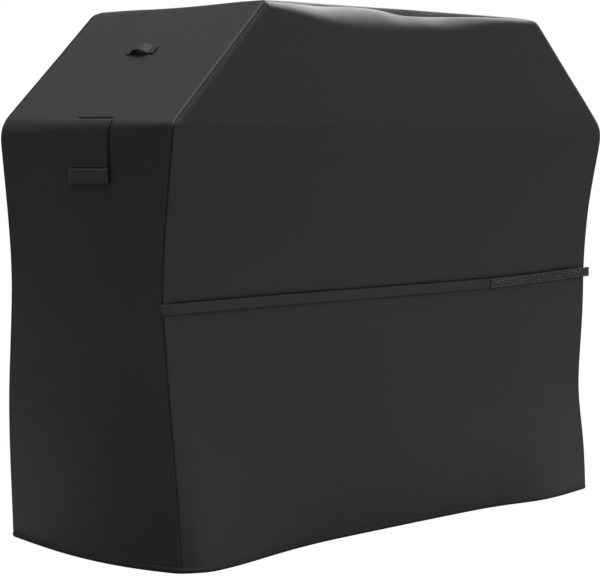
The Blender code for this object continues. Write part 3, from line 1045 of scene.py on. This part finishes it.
def flap_surface(up, y):
    """Outer face of the vent flap: out of its slit, over the crease and down."""
    points, outwards = crease_point(up, y)
    lift = 0.0032 + 0.0012 * ease(-up / 0.09)
    emerge = ease((flap_seam(y) - up) / 0.009)
    lift = -0.0016 + (lift + 0.0016) * emerge
    front_edge = ease((FLAP_LOW.y + 0.03 - y) / 0.03)
    lift = lift + 0.0009 * front_edge * ease(-up / 0.05)
    edge = np.minimum(y - FLAP_LOW.y, FLAP_HIGH.y - y)
    lift = lift - 0.0008 * (1 - ease(edge / 0.0022)) + 0.0003 * lobe(edge, 0.0075, 0.0012, 0.0012)
    lift = lift - 0.0020 * lobe(up, LIP_TOP + 0.0006, 0.0016, 0.0018)
    return points + outwards * lift[..., None], outwards


def vent_flap():
    """The flap, its rows and columns closest at its edges, its slit and its lip."""
    near_lip = LIP_TOP + np.linspace(-0.004, 0.005, 13)
    below = np.linspace(-FLAP_REACH, near_lip[0], 14)[:-1]
    above = np.linspace(near_lip[-1], 0, 22)[1:]
    up = np.concatenate([below, near_lip, above, np.linspace(0, FLAP_SEWN, 34)[1:]])
    side = mm(0, 0.5, 1.0, 1.6, 2.4, 3.4, 4.6, 6, 7.4, 8.8, 11, 15)
    low, high = FLAP_LOW.y, FLAP_HIGH.y
    middle = np.linspace(low + side[-1], high - side[-1], 22)[1:-1]
    y = np.concatenate([low + side, middle, high - side[::-1]])
    grid_up, grid_y = np.meshgrid(up, y[::-1], indexing="ij")
    points, _ = flap_surface(np.minimum(grid_up, flap_seam(grid_y)), grid_y)
    flap = sheet("left_vent_flap_cloth", points, CLOTH, 0.0013)
    line_up = np.linspace(-FLAP_REACH + 0.002, FLAP_SEWN - 0.006, 60)
    rows = [flap_surface(line_up, 0 * line_up + side) for side in (low + 0.0055, high - 0.0055)]
    cross = np.linspace(low + 0.004, high - 0.004, 30)
    rows.append(flap_surface(flap_seam(cross) - 0.0055, cross))
    return [flap, stitches("left_vent_flap_stitching", rows, 0.0034)]


def outline(low, high, count):
    """Points round a rectangle, count on each side, ending where they start."""
    corners = np.array([low, (low[0], high[1]), high, (high[0], low[1])])
    share = np.linspace(0, 1, count + 1)[:-1, None]
    sides = [a + (b - a) * share for a, b in zip(corners, np.roll(corners, -1, 0))]
    return np.concatenate(sides + [corners[:1]])


def vent_lip():
    """The stiff band across the flap: a folded strip with soft edges, stitched round."""
    low, high = LIP_LOW.y - 0.003, LIP_HIGH.y
    half = (LIP_HIGH.z - LIP_LOW.z) / 2
    middle = (LIP_HIGH.z + LIP_LOW.z) / 2 - CREASE_START
    side = mm(0, 0.4, 1.0, 1.9, 3.2, 5.0)
    y = np.concatenate([low + side, np.linspace(low + 0.007, high - 0.007, 40), high - side[::-1]])
    z = np.array([-1, -0.985, -0.95, -0.88, -0.8, -0.5, 0, 0.5, 0.8, 0.88, 0.95, 0.985, 1]) * half
    grid_y, grid_z = np.meshgrid(y[::-1], z)
    edge = np.minimum(np.minimum(grid_y - low, high - grid_y), half - np.abs(grid_z))
    swell = 0.0030 * (1 - (1 - np.clip(edge / 0.0032, 0, 1)) ** 2) ** 0.5
    swell = swell + 0.0006 * ease(edge / 0.012) - 0.0005 * lobe(edge, 0.0042, 0.0008, 0.0008)
    base, outwards = flap_surface(middle + grid_z, np.clip(grid_y, FLAP_LOW.y, FLAP_HIGH.y))
    base[..., 1] = grid_y
    points = base + outwards * (swell + 0.0003)[..., None]
    band = sheet("left_vent_lip_band", points, WEBBING, 0.0012)
    inset = 0.0042
    z, y = outline((inset - half, low + inset), (half - inset, high - inset), 23).T
    path, outs = flap_surface(middle + z, y)
    return [band, stitches("left_vent_lip_stitching", [(path + outs * 0.0033, outs)], 0.003)]


def vent_knit():
    """Knitted mesh with open cells."""
    pitch = 0.0042
    row_pitch = pitch * 0.866
    across = int((MESH_HIGH.y - MESH_LOW.y) / pitch)
    up = int((MESH_HIGH.z - MESH_LOW.z) / row_pitch)
    row, column = np.indices((up + 1, across + 1))
    y = MESH_LOW.y + pitch * (column + 0.5 * (row % 2)) * 0.985
    z = MESH_LOW.z + row_pitch * row
    x = 0.0026 - HALF_LENGTH - end_out(z, y / HALF_DEPTH_SHOULDER)
    faces = []
    for j in range(up):
        first = j * (across + 1)
        for a in range(first, first + across):
            b = a + across + 1
            if j % 2:
                faces += [(a, b + 1, a + 1), (a, b, b + 1)]
            else:
                faces += [(a, b, a + 1), (a + 1, b, b + 1)]
    knit = make_mesh("left_vent_knit", np.stack([x, y, z], -1), faces, MESH)
    wire = knit.modifiers.new("yarn", "WIREFRAME")
    wire.thickness = 0.0008
    wire.use_replace = True
    return knit


def vent_tape():
    """The folded tape that frames the window, raised between its edges."""
    low, high = np.array(TAPE_LOW.yz), np.array(TAPE_HIGH.yz)
    outer = outline(low, high, 12)[:, None]
    inner = outline(low + VENT_TAPE_WIDTH, high - VENT_TAPE_WIDTH, 12)[:, None]
    steps = np.array([0, 0.06, 0.2, 0.5, 0.8, 0.94, 1.0])[:, None]
    swell = mm(0.0, 0.6, 0.95, 1.1, 0.95, 0.6, 0.0)
    y, z = np.moveaxis(outer * (1 - steps) + inner * steps, -1, 0)
    x = -HALF_LENGTH - end_out(z, y / HALF_DEPTH_SHOULDER) - 0.0003 - swell
    grid = np.stack([x, y, z], -1)
    tape = sheet("left_vent_tape", grid, TAPE, 0.0006, weld=1e-6)
    out = np.tile([-1.0, 0, 0], (len(grid), 1))
    return [tape, stitches("left_vent_tape_stitching", [(grid[:, 3] + out * 0.0001, out)], 0.003)]


def vents():
    """Both vents."""
    edges = [crease_point(np.array([up]), 0)[0][0] for up in (FLAP_SEWN - 0.001, 0.006)]
    left = vent_flap() + vent_lip() + [vent_knit()] + vent_tape()
    right = [turned(piece) for piece in left]
    for side, sign, pieces in (("left", 1, left), ("right", -1, right)):
        flap, flap_sewn, lip, lip_sewn, knit, tape, tape_sewn = pieces
        body = side + "_vent_cover"
        ends = [Vector((x * sign, 0, z)) for x, _, z in edges]
        bend(flap, body, ends, "cloth", side + "_vent_flap")
        bend(flap_sewn, body, ends)
        place(lip, body, "webbing", side + "_vent_lip")
        place(lip_sewn, body)
        place(knit, "cover", "mesh", side + "_vent_mesh")
        place(tape, "cover", "binding", side + "_vent_binding")
        place(tape_sewn, "cover")


# Hanging loops

LOOP_THICKNESS = 0.0015
LOOP_RISE = 0.0125
UP_SLOPE = np.array([math.sin(CREASE_TURN), 0, math.cos(CREASE_TURN)])
OFF_SLOPE = np.array([-math.cos(CREASE_TURN), 0, math.sin(CREASE_TURN)])


def loop_base():
    """The place on the left slope that the loop's middle lies over."""
    low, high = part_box("left_loop_back_foot")
    middle = (low + high) / 2
    corner = np.array([-HALF_LENGTH, 0, SHOULDER])
    return corner + UP_SLOPE * float((np.array([middle.x, 0, middle.z]) - corner) @ UP_SLOPE)


def loop_webbing(base):
    """Webbing sewn flat at both ends, with a free arch between."""
    start, end = LOOP_BACK - LOOP_FOOT, LOOP_FRONT + LOOP_FOOT
    feet = np.linspace(LOOP_BACK, start, 10), np.linspace(end, LOOP_FRONT, 10)
    y = np.concatenate([feet[0], np.linspace(start, end, 46)[1:-1], feet[1]])
    t = np.clip((start - y) / (start - end), 0, 1)
    height = LOOP_RISE * np.clip(np.sin(np.pi * t), 0, 1) ** 0.85 + LOOP_THICKNESS + 0.0012
    points = base + np.stack([0 * y, y, 0 * y], 1) + OFF_SLOPE * height[:, None]
    ups = np.tile(UP_SLOPE, (len(y), 1))
    outs = np.cross(tangents(points), ups)
    outs *= np.sign(outs @ OFF_SLOPE)[:, None]
    profile = ribbon_profile(0.024, LOOP_THICKNESS)
    return sweep("left_hanging_loop", points, outs, ups, profile, WEBBING)


def loop_stitching(base):
    """A boxed cross of stitches on each foot."""
    a, b = 6 * MM, 9 * MM
    box = [(-a, -b), (a, -b), (a, b), (-a, b), (-a, -b)]
    rows = []
    for centre in (LOOP_BACK - LOOP_FOOT / 2, LOOP_FRONT + LOOP_FOOT / 2):
        middle = base + OFF_SLOPE * (LOOP_THICKNESS + 0.0013) + np.array([0, centre, 0])
        for corners in (box, [(-a, -b), (a, b)], [(a, -b), (-a, b)]):
            path = [middle + UP_SLOPE * up + np.array([0, y, 0]) for y, up in corners]
            rows.append((path, [OFF_SLOPE] * len(path)))
    return stitches("left_loop_stitching", rows, 0.0024)


def loops():
    """Both loops; the stitches on their feet stay on the cover."""
    base = loop_base()
    left = loop_webbing(base), loop_stitching(base)
    right = turned(left[0]), turned(left[1])
    for side, sign, (loop, sewn) in (("left", 1, left), ("right", -1, right)):
        mirror = np.array([sign, 1, 1])
        ends = [Vector((base + OFF_SLOPE * lift) * mirror) for lift in (0.0028, 0.0085)]
        feet = side + "_loop_front_foot", side + "_loop_back_foot"
        bend(loop, side + "_loop_arch", ends, "webbing", side + "_loop", *feet)
        place(sewn, "cover")


# Stage, lights and camera

def aim(made, direction):
    """Turns a lamp or a camera, which look along -Z, to face a direction."""
    made.rotation_euler = Vector(direction).to_track_quat("-Z", "Y").to_euler()


def area_light(name, spot, target, size, power):
    data = bpy.data.lights.new(name, "AREA")
    data.size = size
    data.energy = power
    made = link(bpy.data.objects.new(name, data))
    made.location = spot
    made.visible_camera = False
    aim(made, Vector(target) - Vector(spot))


SOFT_LIGHTS = [  # direction, sharpness, strength
    ((0.71, -0.70, 0.0), 4.0, 0.50),
    ((-0.05, 0.70, 0.72), 6.0, 0.39),
    ((-0.20, -0.05, 0.97), 14.0, 5.50),
    ((0.14, -0.80, 0.58), 10.0, 0.95),
]
AMBIENT = 0.002


def soft_world():
    """White to the camera; for light, a dim room with a few broad glowing walls."""
    world = bpy.data.worlds.new("studio")
    bpy.context.scene.world = world
    graph = Graph(world)
    graph.tree.nodes.clear()
    view = graph.add("ShaderNodeTexCoord").outputs["Generated"]
    total = AMBIENT
    for direction, sharpness, strength in SOFT_LIGHTS:
        dot = graph.dot(view, Vector(direction).normalized() * sharpness)
        glow = graph.maths("EXPONENT", graph.maths("SUBTRACT", dot, sharpness))
        total = graph.maths("ADD", total, graph.maths("MULTIPLY", glow, strength))
    soft, seen = graph.add("ShaderNodeBackground"), graph.add("ShaderNodeBackground")
    graph.put(total, soft.inputs["Strength"])
    for node in (soft, seen):
        graph.put(WHITE, node.inputs["Color"])
    graph.split_by_camera(seen, soft, "ShaderNodeOutputWorld")


def pale_floor():
    """A floor that looks evenly white and bounces a little light."""
    made = bpy.data.materials.new("pale_floor")
    graph = Graph(made)
    graph.tree.nodes.clear()
    matt = graph.add("ShaderNodeBsdfDiffuse")
    graph.put((0.28, 0.28, 0.28, 1), matt.inputs["Color"])
    graph.split_by_camera(graph.add("ShaderNodeEmission"), matt, "ShaderNodeOutputMaterial")
    return made


def stage():
    reach, below = 14, -0.001
    corners = [(x * reach, y * reach, below) for x, y in ((-1, -1), (1, -1), (1, 1), (-1, 1))]
    make_mesh("floor", corners, [(0, 1, 2, 3)], pale_floor())
    soft_world()
    area_light("key_softbox", (3.2, 0.6, 3.9), (0, 0, 1.0), 2.4, 180)


def camera():
    azimuth, elevation, distance = math.radians(-45.54), math.radians(3.96), 4.685
    target = Vector((-0.068, 0, 0.559))
    level = Vector((math.sin(azimuth), -math.cos(azimuth), 0))
    back = level * math.cos(elevation) + Vector((0, 0, math.sin(elevation)))
    data = bpy.data.cameras.new("camera")
    data.sensor_width = 36
    data.lens = 115
    made = link(bpy.data.objects.new("camera", data))
    made.location = target + back * distance
    aim(made, -back)
    bpy.context.scene.camera = made
    bpy.context.scene.view_settings.view_transform = "Standard"


panels()
top_and_end_strip()
seam_tapes()
hem()
straps()
vents()
loops()
stage()
camera()
